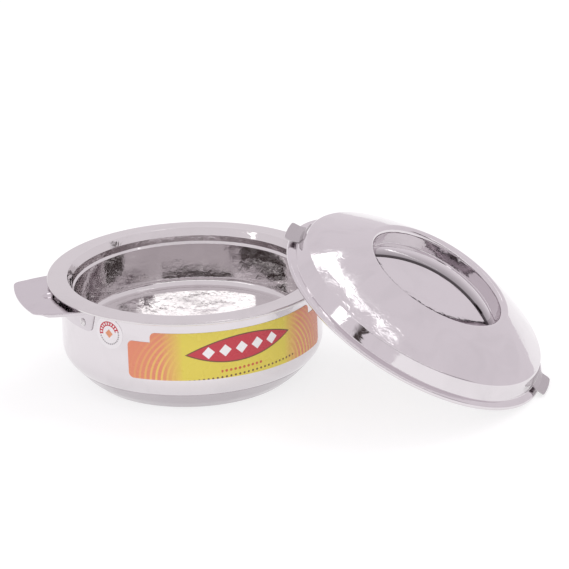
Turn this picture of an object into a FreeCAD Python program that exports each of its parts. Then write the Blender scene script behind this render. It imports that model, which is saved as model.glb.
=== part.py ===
import FreeCAD, Part
import math
import os

# Insulated chapati casserole: a low round double-walled steel pot with two side handles,
# and its double-walled lid, taken off and leaning against the right-hand handle.
# Frame: millimetres, +Z up, origin at the centre of the pot's flat base, handles on -X and +X.
# Round pieces are sheet-steel sections (radius, height) turned about a vertical axis.

V = FreeCAD.Vector
AXIS_Z = V(0, 0, 1)

# ---- sheet metal and clearances ----
sheet = 0.8                # wall of every drawn shell
plate = 1.2                # stamped handle plate and lid strap
foam_gap = 0.3             # foam to the steel round it
seat_gap = 0.05            # edges that stand against a sloping sheet
touch_gap = 0.3            # lid to the handle that it leans on, handle to the ring over it
film_gap = 0.02            # labels and rivets stay this far off the curved sheet under them

# ---- pot: wall, ring, neck and bowl ----
pot_height = 97.4
wall_radius = 120.0
rim_overhang = 11.5        # the ring stands out past the wall
rim_radius = wall_radius + rim_overhang
rim_roll = 1.4             # radius of the ring's rolled edge
rim_roll_tuck = 3.0        # how far the roll runs back under the ring
rim_fall = 0.7             # the ring falls this much from mouth to edge
ring_width = 18.5
mouth_radius = rim_radius - ring_width
mouth_round = 1.0
neck_taper = 3.3
neck_radius = mouth_radius - neck_taper
neck_depth = 6.5
ledge_taper = 0.9
ledge_radius = neck_radius - ledge_taper
ledge_depth = 12.1
ledge_width = 1.9          # step in from the ledge to the bowl's wall
ledge_drop = 1.6
bowl_taper = 1.3
bowl_foot_radius = ledge_radius - ledge_width - bowl_taper
bowl_depth = 54.4
bowl_corner = 7.0
floor_ring_width = 19.6
floor_disc_radius = bowl_foot_radius - floor_ring_width
floor_disc_rise = 1.2
floor_step_round = 0.8

# ---- pot: seam and base ----
seam_height = 20.0
seam_step = 6.8            # the seam lies this far inside the wall
seam_radius = wall_radius - seam_step
seam_round = 0.9
seam_flange = 4.5          # depth of the two flanges that meet in the seam
wall_flare_height = 7.4    # from the seam up to where the wall's slope would meet it
wall_knee_height = seam_height + wall_flare_height
wall_knee_round = 22.0
base_step = 11.7
base_knuckle_radius = seam_radius - base_step
base_knuckle_height = 7.4
base_knuckle_round = 40.0
foot_step = 9.0
foot_radius = base_knuckle_radius - foot_step
foot_round = 2.5
foot_width = 22.5          # flat standing ring outside the pressed groove
base_groove_outer = foot_radius - foot_width
base_groove_width = 18.0
base_groove_inner = base_groove_outer - base_groove_width
base_groove_depth = 1.5
base_groove_slope = 2.0
base_groove_round = 1.0

# ---- side handles: reach is from the pot's axis, half is half the width there ----
grip_drop = 6.4            # from the ring down to the grip
grip_height = pot_height - grip_drop
grip_length = 42.0
grip_radius = wall_radius + grip_length
grip_corner = 9.0
grip_root_half = 51.0
grip_waist_out = 19.0
grip_waist_reach = wall_radius + grip_waist_out
grip_waist_half = 47.8
grip_nose_back = 5.0
grip_nose_reach = grip_radius - grip_nose_back
grip_nose_half = 42.0
grip_tip_on = 5.0          # the sides run on past the outer arc
grip_tip_reach = grip_radius + grip_tip_on
grip_tip_half = 38.0
grip_lip_height = 3.6      # turned-down side edges
grip_lip_back = 13.0
grip_lip_end = grip_radius - grip_lip_back
flange_height = 19.0
flange_wing = 8.4          # the flange is wider than the grip
flange_top_half = grip_root_half + flange_wing
flange_taper = 4.6
flange_foot_half = flange_top_half - flange_taper
flange_corner = 5.0
bead_back = 21.0           # stiffening bead along the middle of the grip, up to the ring
bead_end = grip_radius - bead_back
bead_round = 6.0

# ---- rivets ----
rivet_angle = 21.8         # from the handle's middle, about the pot's axis
rivet_drop = 12.5
rivet_height = grip_height - rivet_drop
rivet_shank = 2.1
rivet_head = 3.8
rivet_head_height = 1.5
rivet_head_edge = 0.5      # height of the head's upright edge
rivet_head_round = 0.4
rivet_crown = 1.9          # radius of the head's flat crown
rivet_crown_round = 1.0
rivet_dimple = 1.3
rivet_dimple_depth = 0.8
rivet_tail = 3.2
rivet_tail_height = 1.2
rivet_tail_round = 0.5
washer_radius = 5.0
washer_thickness = 1.0

# ---- labels ----
# angles are about the pot's axis, from +X; gaps are lengths along the wall
sticker_radius = 15.0
sticker_gap = 1.6          # from the left handle's flange to the sticker
flange_angle = math.degrees(math.asin(flange_top_half / wall_radius))
sticker_angle = 180.0 + flange_angle + math.degrees((sticker_gap + sticker_radius) / wall_radius)
sticker_drop = 6.4
sticker_height = pot_height - sticker_drop - sticker_radius
label_thickness = 0.2
label_gap = 4.7            # from the sticker to the label
label_start_angle = sticker_angle + math.degrees((sticker_radius + label_gap) / wall_radius)
label_end_gap = 4.9        # from the label to the right handle's flange
label_end_angle = 360.0 - flange_angle - math.degrees(label_end_gap / wall_radius)
label_step_angle = 10.5    # the lower shoulder at each end of the label
label_drop = 14.9
label_top = pot_height - label_drop
label_height = 45.3
label_bottom = label_top - label_height
label_shoulder_drop = 9.5
label_shoulder = label_top - label_shoulder_drop
label_corner = 5.0

# ---- lid, in its own frame: origin at the centre of its rolled edge ----
lid_overhang = 0.9         # the lid stands out past the ring
lid_radius = rim_radius + lid_overhang
lid_roll = 2.0
lid_roll_tuck = 4.2
lid_flange_width = 5.0
lid_flange_inner = lid_radius - lid_flange_width
lid_flange_rise = 3.4
band_foot_step = 2.1
band_foot_rise = 0.4
band_foot_radius = lid_flange_inner - band_foot_step
band_foot_height = lid_flange_rise + band_foot_rise
band_foot_round = 1.0
band_taper = 3.8
band_height = 14.4
band_top_radius = band_foot_radius - band_taper
band_top_height = band_foot_height + band_height
band_top_round = 3.0
dome_low_width = 24.5      # widths and rises of the dome's two slopes, from the band in
dome_low_rise = 13.8
dome_middle_radius = band_top_radius - dome_low_width
dome_middle_height = band_top_height + dome_low_rise
dome_round = 500.0
dome_high_width = 31.3
dome_high_rise = 14.6
lip_radius = dome_middle_radius - dome_high_width
lip_height = dome_middle_height + dome_high_rise
lip_round = 5.0
well_wall_width = 0.4
well_depth = 18.6
well_radius = lip_radius - well_wall_width
well_height = lip_height - well_depth
well_round = 1.0
pan_clearance = 3.1        # to the pot's neck, when the lid is on
pan_neck_radius = neck_radius - pan_clearance
pan_neck_round = 1.6
pan_taper = 1.3
pan_radius = pan_neck_radius - pan_taper
pan_depth = 11.6
pan_corner = 3.0
pan_flange_gap = 2.1       # from the pan's edge to the outside of the lid's roll
pan_flange_radius = lid_radius - pan_flange_gap

# ---- lid strap handle ----
strap_half_width = 11.0
strap_rise = 4.0           # height of the crowned section
strap_clear = 22.6         # from the well's floor up to the middle of the strap's edges
strap_arc = 108.0          # radius that the strap's edges follow
strap_end_gap = 0.3         # from the strap's closed ends to the well's wall
strap_reach = well_radius - strap_end_gap
strap_end_solid = 3.0

# ---- lid tabs ----
tab_sheet = 1.0
tab_half_width = 18.0
tab_top_drop = 4.8         # below the top of the band
tab_top = band_top_height - tab_top_drop
tab_bend_rise = 3.6
tab_bend_height = band_foot_height + tab_bend_rise
tab_bend_round = 1.6
tab_knee_back = 2.4
tab_knee_radius = lid_radius - tab_knee_back
tab_knee_rise = 3.2        # over the rolled edge
tab_knee_height = lid_roll + tab_knee_rise
tab_knee_round = 3.0
tab_length = 5.8           # past the rolled edge
tab_reach = lid_radius + tab_length
tab_fall = 0.6
tab_reach_height = tab_knee_height - tab_fall

# ---- how the lid leans ----
lean_azimuth = -30.7       # direction from the pot's axis to the lid's centre
lean_past_grip = 49.35
lean_distance = grip_radius + lean_past_grip
lean_least_angle = 5.0     # the tilt is searched for between these two
lean_most_angle = 70.0
lid_spin = 3.8             # the lid's own turn about its axis, an angle

SEARCH_STEPS = 50
TINY = 1e-6                # shorter runs than this are left out of a section


# ======== sections: points (radius, height, rounding) turned about the vertical axis ========

def left_normal(a, b):
    """Unit vector to the left of the way from a to b."""
    length = math.hypot(b[0] - a[0], b[1] - a[1])
    return (-(b[1] - a[1]) / length, (b[0] - a[0]) / length)


def moved_section(points, distance):
    """The same open section, moved left of its direction of travel, with mitred corners."""
    moved = []
    last = len(points) - 1
    for i, (r, z, rounding) in enumerate(points):
        first = max(i, 1)
        before = left_normal(points[first - 1], points[first])
        second = min(i, last - 1)
        after = left_normal(points[second], points[second + 1])
        mitre = 1.0 + before[0] * after[0] + before[1] * after[1]
        turn = before[0] * after[1] - before[1] * after[0]
        if rounding > 0:
            rounding = max(rounding - math.copysign(distance, turn), 0.0)
        new_r = max(r + distance * (before[0] + after[0]) / mitre, 0.0)
        new_z = z + distance * (before[1] + after[1]) / mitre
        moved.append((new_r, new_z, rounding))
    return moved


def upright(a, b):
    """Section plane: radius along X, height along Z."""
    return V(a, 0, b)


def flat(a, b):
    """Plan view: X and Y."""
    return V(a, b, 0)


def facing(a, b):
    """Seen along the X axis: Y and Z."""
    return V(0, a, b)


def corner_reaches(spots, roundings, closed):
    """How far each corner's arc reaches along its runs; two arcs share a run too short for both."""
    count = len(spots)
    halves = {}
    reaches = [0.0] * count
    for i in range(count) if closed else range(1, count - 1):
        if roundings[i] > 0:
            back = spots[i - 1] - spots[i]
            ahead = spots[(i + 1) % count] - spots[i]
            halves[i] = back.getAngle(ahead) / 2
            reaches[i] = roundings[i] / math.tan(halves[i])
    fitted = list(reaches)
    for i in range(count if closed else count - 1):
        j = (i + 1) % count
        wanted = reaches[i] + reaches[j]
        run = spots[i].distanceToPoint(spots[j])
        if wanted > run:
            fitted[i] = min(fitted[i], reaches[i] * run / wanted)
            fitted[j] = min(fitted[j], reaches[j] * run / wanted)
    return fitted, halves


def rounded_edges(points, place, closed):
    """Straight runs between the points and a tangent arc of its own radius at each corner."""
    spots = [place(p[0], p[1]) for p in points]
    count = len(points)
    reaches, halves = corner_reaches(spots, [p[2] for p in points], closed)
    cuts = {}
    arcs = {}
    for i, half in halves.items():
        back = (spots[i - 1] - spots[i]).normalize()
        ahead = (spots[(i + 1) % count] - spots[i]).normalize()
        rounding = reaches[i] * math.tan(half)
        cuts[i] = (spots[i] + back * reaches[i], spots[i] + ahead * reaches[i])
        middle = spots[i] + (back + ahead).normalize() * (rounding / math.sin(half) - rounding)
        arcs[i] = Part.Arc(cuts[i][0], middle, cuts[i][1]).toShape()
    edges = []
    for i in range(count if closed else count - 1):
        j = (i + 1) % count
        start = cuts[i][1] if i in cuts else spots[i]
        end = cuts[j][0] if j in cuts else spots[j]
        if start.distanceToPoint(end) > TINY:
            edges.append(Part.LineSegment(start, end).toShape())
        if j in arcs:
            edges.append(arcs[j])
    return edges


def closed_face(points, place=upright):
    return Part.Face(Part.Wire(rounded_edges(points, place, True)))


def sheet_face(points, thickness):
    """Section of a sheet whose shown side follows the points; its metal lies to their left."""
    behind = list(reversed(moved_section(points, thickness)))
    front_edges = rounded_edges(points, upright, False)
    back_edges = rounded_edges(behind, upright, False)
    cap_end = Part.LineSegment(upright(*points[-1][:2]), upright(*behind[0][:2])).toShape()
    cap_start = Part.LineSegment(upright(*behind[-1][:2]), upright(*points[0][:2])).toShape()
    return Part.Face(Part.Wire(front_edges + [cap_end] + back_edges + [cap_start]))


def turned(face, angle=360.0, start=0.0):
    solid = face.revolve(V(0, 0, 0), AXIS_Z, angle)
    solid.rotate(V(0, 0, 0), AXIS_Z, start)
    return solid


def turned_sheet(points):
    return turned(sheet_face(points, sheet))


def filled_to_axis(points):
    """Everything between the axis and an open section that starts on the axis."""
    return turned(closed_face(points + [(0, points[-1][1], 0)]))


def disc(radius, low, high):
    return Part.makeCylinder(radius, high - low, V(0, 0, low))


def ring(inner, outer, low, high):
    return disc(outer, low, high).cut(disc(inner, low, high))


def rod(radius, start, end):
    """Round bar between two points."""
    way = end - start
    return Part.makeCylinder(radius, way.Length, start, way)


def slab(reach, half_width, low, high):
    """Block from the axis out to a reach along +X, centred on that direction."""
    return Part.makeBox(reach, 2 * half_width, high - low, V(0, -half_width, low))


def about_axis(shape, angle):
    copy = shape.copy()
    copy.rotate(V(0, 0, 0), AXIS_Z, angle)
    return copy


# ======== the pot ========

def ring_height(radius):
    """Top of the flat ring at a radius: it falls a little towards its edge."""
    return pot_height - rim_fall * (radius - mouth_radius) / (rim_radius - mouth_radius)


def basin_section():
    """Inside of the bowl from the mouth down: neck, ledge, wall and stepped floor."""
    ledge = pot_height - ledge_depth
    floor = pot_height - bowl_depth
    return [
        (mouth_radius, pot_height, mouth_round),
        (neck_radius, pot_height - neck_depth, mouth_round),
        (ledge_radius, ledge, mouth_round),
        (ledge_radius - ledge_width, ledge - ledge_drop, mouth_round),
        (bowl_foot_radius, floor, bowl_corner),
        (floor_disc_radius + floor_disc_rise, floor, floor_step_round),
        (floor_disc_radius, floor + floor_disc_rise, floor_step_round),
        (0, floor + floor_disc_rise, 0),
    ]


def bowl_section():
    """Shown side of the bowl: rolled edge, ring and basin."""
    edge_top = ring_height(rim_radius)
    edge_bottom = edge_top - 2 * rim_roll
    return [
        (rim_radius - rim_roll_tuck, edge_bottom, 0),
        (rim_radius, edge_bottom, rim_roll),
        (rim_radius, edge_top, rim_roll),
    ] + basin_section()


def foot_section():
    """Side of the base from its standing ring up to the seam, without the seam's corner."""
    return [
        (foot_radius, 0, foot_round),
        (base_knuckle_radius, base_knuckle_height, base_knuckle_round),
    ]


def base_section():
    """Shown side of the base cover, from the axis out and up to its flange in the seam."""
    return [
        (0, 0, 0),
        (base_groove_inner, 0, base_groove_round),
        (base_groove_inner + base_groove_slope, base_groove_depth, base_groove_round),
        (base_groove_outer - base_groove_slope, base_groove_depth, base_groove_round),
        (base_groove_outer, 0, base_groove_round),
    ] + foot_section() + [
        (seam_radius, seam_height, seam_round),
        (seam_radius - seam_flange, seam_height, 0),
    ]


def wall_top():
    """The wall ends just under the ring that it carries."""
    return ring_height(wall_radius) - sheet - seat_gap


def wall_section():
    """Shown side of the outer shell, from its flange in the seam up to the ring."""
    return [
        (seam_radius - seam_flange, seam_height, 0),
        (seam_radius, seam_height, seam_round),
        (wall_radius, wall_knee_height, wall_knee_round),
        (wall_radius, wall_top(), 0),
    ]


def rivet_hole():
    """Bar along a rivet's axis, wide enough for its shank only."""
    return rod(rivet_shank, V(0, 0, rivet_height), V(grip_radius, 0, rivet_height))


def at_rivets(shape, sides=(0, 180)):
    """Copies of a shape made for the +X direction, one at each rivet of each side's handle."""
    angles = [side + turn for side in sides for turn in (-rivet_angle, rivet_angle)]
    return [about_axis(shape, angle) for angle in angles]


def outer_shell():
    return turned_sheet(wall_section()).cut(at_rivets(rivet_hole()))


def body_insulation():
    """Foam that fills the space between bowl, wall and base, a hair clear of each."""
    clear = sheet + foam_gap
    skin = [(0, base_groove_depth, 0), (foot_radius, base_groove_depth, foot_round)]
    skin += foot_section()[1:]
    skin += [(wall_radius, wall_knee_height, wall_knee_round), (wall_radius, wall_top(), 0)]
    basin = list(reversed(moved_section(basin_section(), clear)))
    seam_space = ring(seam_radius - seam_flange - foam_gap, wall_radius,
                      seam_height - clear, seam_height + clear)
    tail_end = washer_face() - washer_thickness - rivet_tail_height
    pocket = rod(washer_radius + foam_gap, V(tail_end - foam_gap, 0, rivet_height),
                 V(wall_radius, 0, rivet_height))
    foam = filled_to_axis(moved_section(skin, clear)).cut(filled_to_axis(basin))
    return foam.cut([seam_space] + at_rivets(pocket))


# ======== side handles, made for the +X side ========

def grip_outline():
    """Plan of the grip plate: it narrows outwards and ends in an arc about the pot's axis."""
    half = [
        (0, grip_root_half),
        (wall_radius + plate, grip_root_half),
        (grip_waist_reach, grip_waist_half),
        (grip_nose_reach, grip_nose_half),
        (grip_tip_reach, grip_tip_half),
    ]
    corners = [(x, y, 0) for x, y in half] + [(x, -y, 0) for x, y in reversed(half)]
    return closed_face(corners, flat).common(Part.Face(Part.Wire(Part.makeCircle(grip_radius))))


def is_nose_corner(edge):
    """True for an upright edge where a side of the grip meets its outer arc."""
    ends = [vertex.Point for vertex in edge.Vertexes]
    if len(ends) < 2 or ends[0].distanceToPoint(ends[1]) < TINY:
        return False
    same_place = math.hypot(ends[0].x - ends[1].x, ends[0].y - ends[1].y) < TINY
    return same_place and abs(math.hypot(ends[0].x, ends[0].y) - grip_radius) < seat_gap


def grip_prism(low):
    """The grip's outline as a block from a height up to its top face, its nose rounded."""
    outline = grip_outline()
    outline.translate(V(0, 0, low))
    block = outline.extrude(V(0, 0, grip_height - low))
    return block.makeFillet(grip_corner, [e for e in block.Edges if is_nose_corner(e)])


def grip():
    """Flat grip plate with its two side edges turned down."""
    low = grip_height - grip_lip_height
    block = grip_prism(low)
    underside = min(block.Faces, key=lambda face: face.CenterOfMass.z)
    hollow = underside.makeOffset2D(-plate).extrude(V(0, 0, grip_lip_height))
    sides = block.cut(hollow).common(slab(grip_lip_end, grip_root_half, low, grip_height))
    return grip_prism(grip_height - plate).fuse(sides)


def flange():
    """Mounting flange that hugs the wall under the grip."""
    foot = grip_height - flange_height
    shape = [
        (-flange_top_half, grip_height, 0),
        (-flange_foot_half, foot, flange_corner),
        (flange_foot_half, foot, flange_corner),
        (flange_top_half, grip_height, 0),
    ]
    block = closed_face(shape, facing).extrude(V(grip_radius, 0, 0))
    return block.common(ring(wall_radius, wall_radius + plate, foot, grip_height))


def bead_crest():
    """Top of the bead, which passes just under the ring's rolled edge."""
    return ring_height(rim_radius) - 2 * rim_roll - touch_gap


def bead(radius, start):
    """Half-sunk bar with a round end, along the middle of the grip."""
    height = bead_crest() - bead_round
    end = V(bead_end - bead_round, 0, height)
    return rod(radius, V(start, 0, height), end).fuse(Part.makeSphere(radius, end))


def handle():
    crest = bead_crest()
    shown = slab(grip_radius, bead_round, grip_height - plate, crest)
    body = grip().fuse(bead(bead_round, wall_radius).common(shown))
    body = body.cut(bead(bead_round - plate, wall_radius + 2 * plate))
    body = body.cut(disc(wall_radius, 0, crest)).fuse(flange())
    return body.removeSplitter().cut(at_rivets(rivet_hole(), sides=(0,)))


def washer_face():
    """Distance from the pot's axis to the washer's outer side, flat against the curved wall."""
    inside = wall_radius - sheet
    return math.sqrt(inside ** 2 - washer_radius ** 2) - film_gap


def lying_along_x(shape):
    """A turned piece, laid down from the vertical axis on to a rivet's axis."""
    shape.rotate(V(0, 0, 0), V(0, 1, 0), 90)
    shape.translate(V(0, 0, rivet_height))
    return shape


def rivet():
    """One rivet for the +X direction: dimpled head outside, upset tail inside."""
    head = wall_radius + plate + film_gap
    tail = washer_face() - washer_thickness
    crown = head + rivet_head_height
    section = [
        (0, tail - rivet_tail_height, 0),
        (rivet_tail, tail - rivet_tail_height, rivet_tail_round),
        (rivet_tail, tail, 0),
        (rivet_shank, tail, 0),
        (rivet_shank, head, 0),
        (rivet_head, head, 0),
        (rivet_head, head + rivet_head_edge, rivet_head_round),
        (rivet_crown, crown, rivet_crown_round),
        (rivet_dimple, crown, 0),
        (0, crown - rivet_dimple_depth, 0),
    ]
    return lying_along_x(turned(closed_face(section)))


def washer():
    face = washer_face()
    return lying_along_x(ring(rivet_shank, washer_radius, face - washer_thickness, face))


# ======== labels ========

def wall_patch(start, end, low, high):
    """Thin piece of the wall's outside between two angles and two heights."""
    inner = wall_radius + film_gap
    outer = inner + label_thickness
    section = [(inner, low, 0), (outer, low, 0), (outer, high, 0), (inner, high, 0)]
    return turned(closed_face(section), end - start, start)


def rounded_patch(start, end, low, high):
    """A wall patch with its four corners rounded, along the edges through its thickness."""
    patch = wall_patch(start, end, low, high)
    through = [e for e in patch.Edges if abs(e.Length - label_thickness) < TINY]
    return patch.makeFillet(label_corner, through)


def front_label():
    middle = rounded_patch(label_start_angle + label_step_angle,
                           label_end_angle - label_step_angle,
                           label_bottom + label_corner, label_top)
    whole = rounded_patch(label_start_angle, label_end_angle, label_bottom, label_shoulder)
    return middle.fuse(whole).removeSplitter()


def round_sticker():
    punch = rod(sticker_radius, V(0, 0, sticker_height), V(grip_radius, 0, sticker_height))
    inner = wall_radius + film_gap
    patch = ring(inner, inner + label_thickness,
                 sticker_height - 2 * sticker_radius, sticker_height + 2 * sticker_radius)
    return about_axis(patch.common(punch), sticker_angle)


# ======== the lid, in its own frame ========

def dome_section():
    """Shown side of the lid from the band's foot in: band, dome, lip and round well."""
    return [
        (band_foot_radius, band_foot_height, band_foot_round),
        (band_top_radius, band_top_height, band_top_round),
        (dome_middle_radius, dome_middle_height, dome_round),
        (lip_radius, lip_height, lip_round),
        (well_radius, well_height, well_round),
        (0, well_height, 0),
    ]


def lid_section():
    """Shown side of the lid's outer skin: roll, flange and all of the dome."""
    return [
        (lid_radius - lid_roll_tuck, -lid_roll, 0),
        (lid_radius, -lid_roll, lid_roll),
        (lid_radius, lid_roll, lid_roll),
        (lid_flange_inner, lid_flange_rise, band_foot_round),
    ] + dome_section()


def pan_section():
    """Shown underside of the lid's inner pan, from the axis out to its flange in the roll."""
    flange_bottom = -sheet / 2
    return [
        (0, -pan_depth, 0),
        (pan_radius, -pan_depth, pan_corner),
        (pan_neck_radius, flange_bottom, pan_neck_round),
        (pan_flange_radius, flange_bottom, 0),
    ]


def lid_insulation():
    """Foam between dome and pan, a hair clear of both."""
    clear = sheet + foam_gap
    under_dome = moved_section(dome_section(), clear)
    on_pan = moved_section(pan_section(), clear)
    foot = (under_dome[0][0], on_pan[-1][1], 0)
    return turned(closed_face(on_pan[:-1] + [foot] + under_dome[1:]))


def strap_sweep(half_width, rise, half_length):
    """A crowned section carried along the arc, as far as a half length each way."""
    low = well_height + strap_clear
    arch = Part.Arc(V(0, -half_width, low), V(0, 0, low + rise), V(0, half_width, low)).toShape()
    base = Part.LineSegment(V(0, half_width, low), V(0, -half_width, low)).toShape()
    face = Part.Face(Part.Wire([arch, base]))
    centre = V(0, 0, low - strap_arc)
    angle = math.degrees(math.asin(half_length / (strap_arc + strap_rise)))
    face.rotate(centre, V(0, 1, 0), -angle)
    return face.revolve(centre, V(0, 1, 0), 2 * angle)


def lid_handle():
    """Crowned strap, hollow below, arched over the well; its ends meet the well's wall."""
    outer = strap_sweep(strap_half_width, strap_rise, strap_reach)
    inner = strap_sweep(strap_half_width - plate, strap_rise - plate,
                        strap_reach - strap_end_solid)
    strap = outer.cut(inner)
    return strap.cut(disc(lid_radius, 0, well_height))


def band_radius_at(height):
    """Shown face of the upright band at a height."""
    share = (height - band_foot_height) / (band_top_height - band_foot_height)
    return band_foot_radius + share * (band_top_radius - band_foot_radius)


def lid_tab():
    """Bent clip for the +X side: a leaf on the band and a leaf out over the rolled edge."""
    section = [
        (band_radius_at(tab_top), tab_top, 0),
        (band_radius_at(tab_bend_height), tab_bend_height, tab_bend_round),
        (tab_knee_radius, tab_knee_height, tab_knee_round),
        (tab_reach, tab_reach_height, 0),
    ]
    half_angle = math.degrees(math.asin(tab_half_width / band_top_radius))
    swept = turned(sheet_face(section, tab_sheet), 2 * half_angle, -half_angle)
    return swept.common(slab(tab_reach + tab_sheet, tab_half_width, 0, tab_top + tab_sheet))


# ======== the leaning lid ========

def lid_place(tilt):
    """Centre and axis of the leaning lid, whose rolled edge stands on the floor."""
    angle = math.radians(tilt)
    turn = math.radians(lean_azimuth)
    height = (lid_radius - lid_roll) * math.sin(angle) + lid_roll
    centre = V(lean_distance * math.cos(turn), lean_distance * math.sin(turn), height)
    axis = V(math.sin(angle) * math.cos(turn), math.sin(angle) * math.sin(turn), math.cos(angle))
    return centre, axis


def nose_centre():
    """Centre of the rounding between the handle's outer arc and its side nearer the lid."""
    waist = V(grip_waist_reach, -grip_waist_half, 0)
    nose = V(grip_nose_reach, -grip_nose_half, 0)
    along = (nose - waist).normalize()
    across = V(along.y, -along.x, 0)
    off = nose.dot(across) - grip_corner
    return across * off + along * math.sqrt((grip_radius - grip_corner) ** 2 - off ** 2)


def handle_below_lid(tilt):
    """Distance from the plane of the lid's edge down to the nearest edge of the handle."""
    centre, axis = lid_place(tilt)
    turn = math.radians(lean_azimuth)
    spot = nose_centre() + V(math.cos(turn), math.sin(turn), 0) * grip_corner
    spot.z = grip_height
    return (centre - spot).dot(axis)


def lean_tilt():
    """Tilt at which the pan's flat face comes to rest on the handle's edge, by halving."""
    low = lean_least_angle
    high = lean_most_angle
    for _ in range(SEARCH_STEPS):
        middle = (low + high) / 2
        if handle_below_lid(middle) < pan_depth + touch_gap:
            low = middle
        else:
            high = middle
    return high


def leaning(shape, tilt):
    """Put a piece of the lid where the lid leans."""
    copy = about_axis(shape, lid_spin)
    copy.rotate(V(0, 0, 0), V(0, 1, 0), tilt)
    copy.rotate(V(0, 0, 0), AXIS_Z, lean_azimuth)
    copy.translate(lid_place(tilt)[0])
    return copy


# ======== all pieces ========

def pot_pieces():
    right = handle()
    return {
        "outer_shell": outer_shell(),
        "base_cover": turned_sheet(base_section()),
        "inner_bowl": turned_sheet(bowl_section()),
        "body_insulation": body_insulation(),
        "right_handle": right,
        "left_handle": about_axis(right, 180),
        "handle_rivets": Part.Compound(at_rivets(rivet())),
        "rivet_washers": Part.Compound(at_rivets(washer())),
        "front_label": front_label(),
        "round_sticker": round_sticker(),
    }


def lid_pieces():
    tab = lid_tab()
    return {
        "lid_dome": turned_sheet(lid_section()),
        "lid_inner_pan": turned_sheet(pan_section()),
        "lid_insulation": lid_insulation(),
        "lid_handle": lid_handle(),
        "lid_tab_low": tab,
        "lid_tab_high": about_axis(tab, 180),
    }


def main():
    os.makedirs("parts", exist_ok=True)
    tilt = lean_tilt()
    print("the lid leans at %.3f degrees" % tilt)
    pieces = pot_pieces()
    for name, shape in lid_pieces().items():
        pieces[name] = leaning(shape, tilt)
    for name, shape in pieces.items():
        shape.exportStep("parts/" + name + ".step")
        print("%-16s %d solid(s) %10.1f mm3" % (name, len(shape.Solids), shape.Volume))


main()
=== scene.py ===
# %% [markdown]
# # An insulated serving casserole in polished steel
# A low double-walled pot keeps flat breads warm under a double-walled lid.
# Every sheet of the real thing is pressed or spun on a lathe, so nearly every
# piece here is a drawn line, the section, turned about an axis.
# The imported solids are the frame: each shown piece is made again as a finer
# surface with exact normals, because mirror steel shows every flat facet.

# %% Load the frame and keep its box
import math
import bpy
import numpy as np
from mathutils import Matrix, Vector


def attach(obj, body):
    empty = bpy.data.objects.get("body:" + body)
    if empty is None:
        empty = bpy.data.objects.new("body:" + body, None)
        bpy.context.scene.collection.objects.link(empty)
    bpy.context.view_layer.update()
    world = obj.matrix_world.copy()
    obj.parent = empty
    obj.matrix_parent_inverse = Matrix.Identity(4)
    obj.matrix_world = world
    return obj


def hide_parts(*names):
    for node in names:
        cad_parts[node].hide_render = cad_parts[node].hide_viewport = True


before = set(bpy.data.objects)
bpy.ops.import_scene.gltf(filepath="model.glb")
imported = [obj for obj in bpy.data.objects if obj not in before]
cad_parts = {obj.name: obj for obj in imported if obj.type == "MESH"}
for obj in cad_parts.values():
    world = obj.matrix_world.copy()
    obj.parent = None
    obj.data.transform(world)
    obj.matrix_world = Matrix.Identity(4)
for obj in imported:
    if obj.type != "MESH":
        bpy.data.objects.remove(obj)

join, spread = np.concatenate, np.broadcast_to

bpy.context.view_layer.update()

# %% [markdown]
# ## Where the camera stands
# A long lens from about four metres keeps the round mouth a clean ellipse.
# The view is from a little to the left and 21 degrees up, and the camera
# leans by two degrees.

# %% Camera
MM = 0.001
scene = bpy.context.scene


def new_object(name, data):
    """An object in the scene."""
    made = bpy.data.objects.new(name, data)
    scene.collection.objects.link(made)
    return made


def place_camera(target, distance, azimuth, elevation, roll, lens):
    """Stands the camera back from the target along its line of sight:
    place = target - distance * forward, then turns it about that line."""
    turn = Matrix.Rotation(math.radians(azimuth), 3, "Z")
    rise = math.radians(elevation)
    forward = turn @ Vector((0, math.cos(rise), -math.sin(rise)))
    up = turn @ Vector((0, math.sin(rise), math.cos(rise)))
    right = turn @ Vector((1, 0, 0))
    lean = math.radians(roll)
    across = math.cos(lean) * right + math.sin(lean) * up
    above = math.cos(lean) * up - math.sin(lean) * right
    data = bpy.data.cameras.new("camera")
    data.lens, data.sensor_width, data.clip_end = lens, 36.0, 200.0
    camera = new_object("camera", data)
    turned = Matrix((across, above, -forward)).transposed()
    camera.matrix_world = Matrix.Translation(Vector(target) - distance * forward) @ turned.to_4x4()
    scene.camera = camera
    return camera


camera = place_camera(target=(0.08317, -0.02229, 0.08022), distance=4.006, azimuth=-15.0,
                      elevation=21.0, roll=-1.972, lens=275.95)
print("camera at", [round(v, 3) for v in camera.matrix_world.translation])

# %% [markdown]
# ## A small kit for nodes
# Materials are graphs of nodes. A number in such a graph is a Value, on which
# plus, minus, times and abs work as they do on paper, each as one Math node.

# %% Node helpers


def node(tree, kind, inputs=None, **settings):
    """Adds a node, applies its settings, then links or sets each input."""
    made = tree.nodes.new(kind)
    for key, value in settings.items():
        setattr(made, key, value)
    for key, value in (inputs or {}).items():
        value = getattr(value, "socket", value)
        if isinstance(value, bpy.types.NodeSocket):
            tree.links.new(value, made.inputs[key])
        else:
            made.inputs[key].default_value = value
    return made


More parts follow.
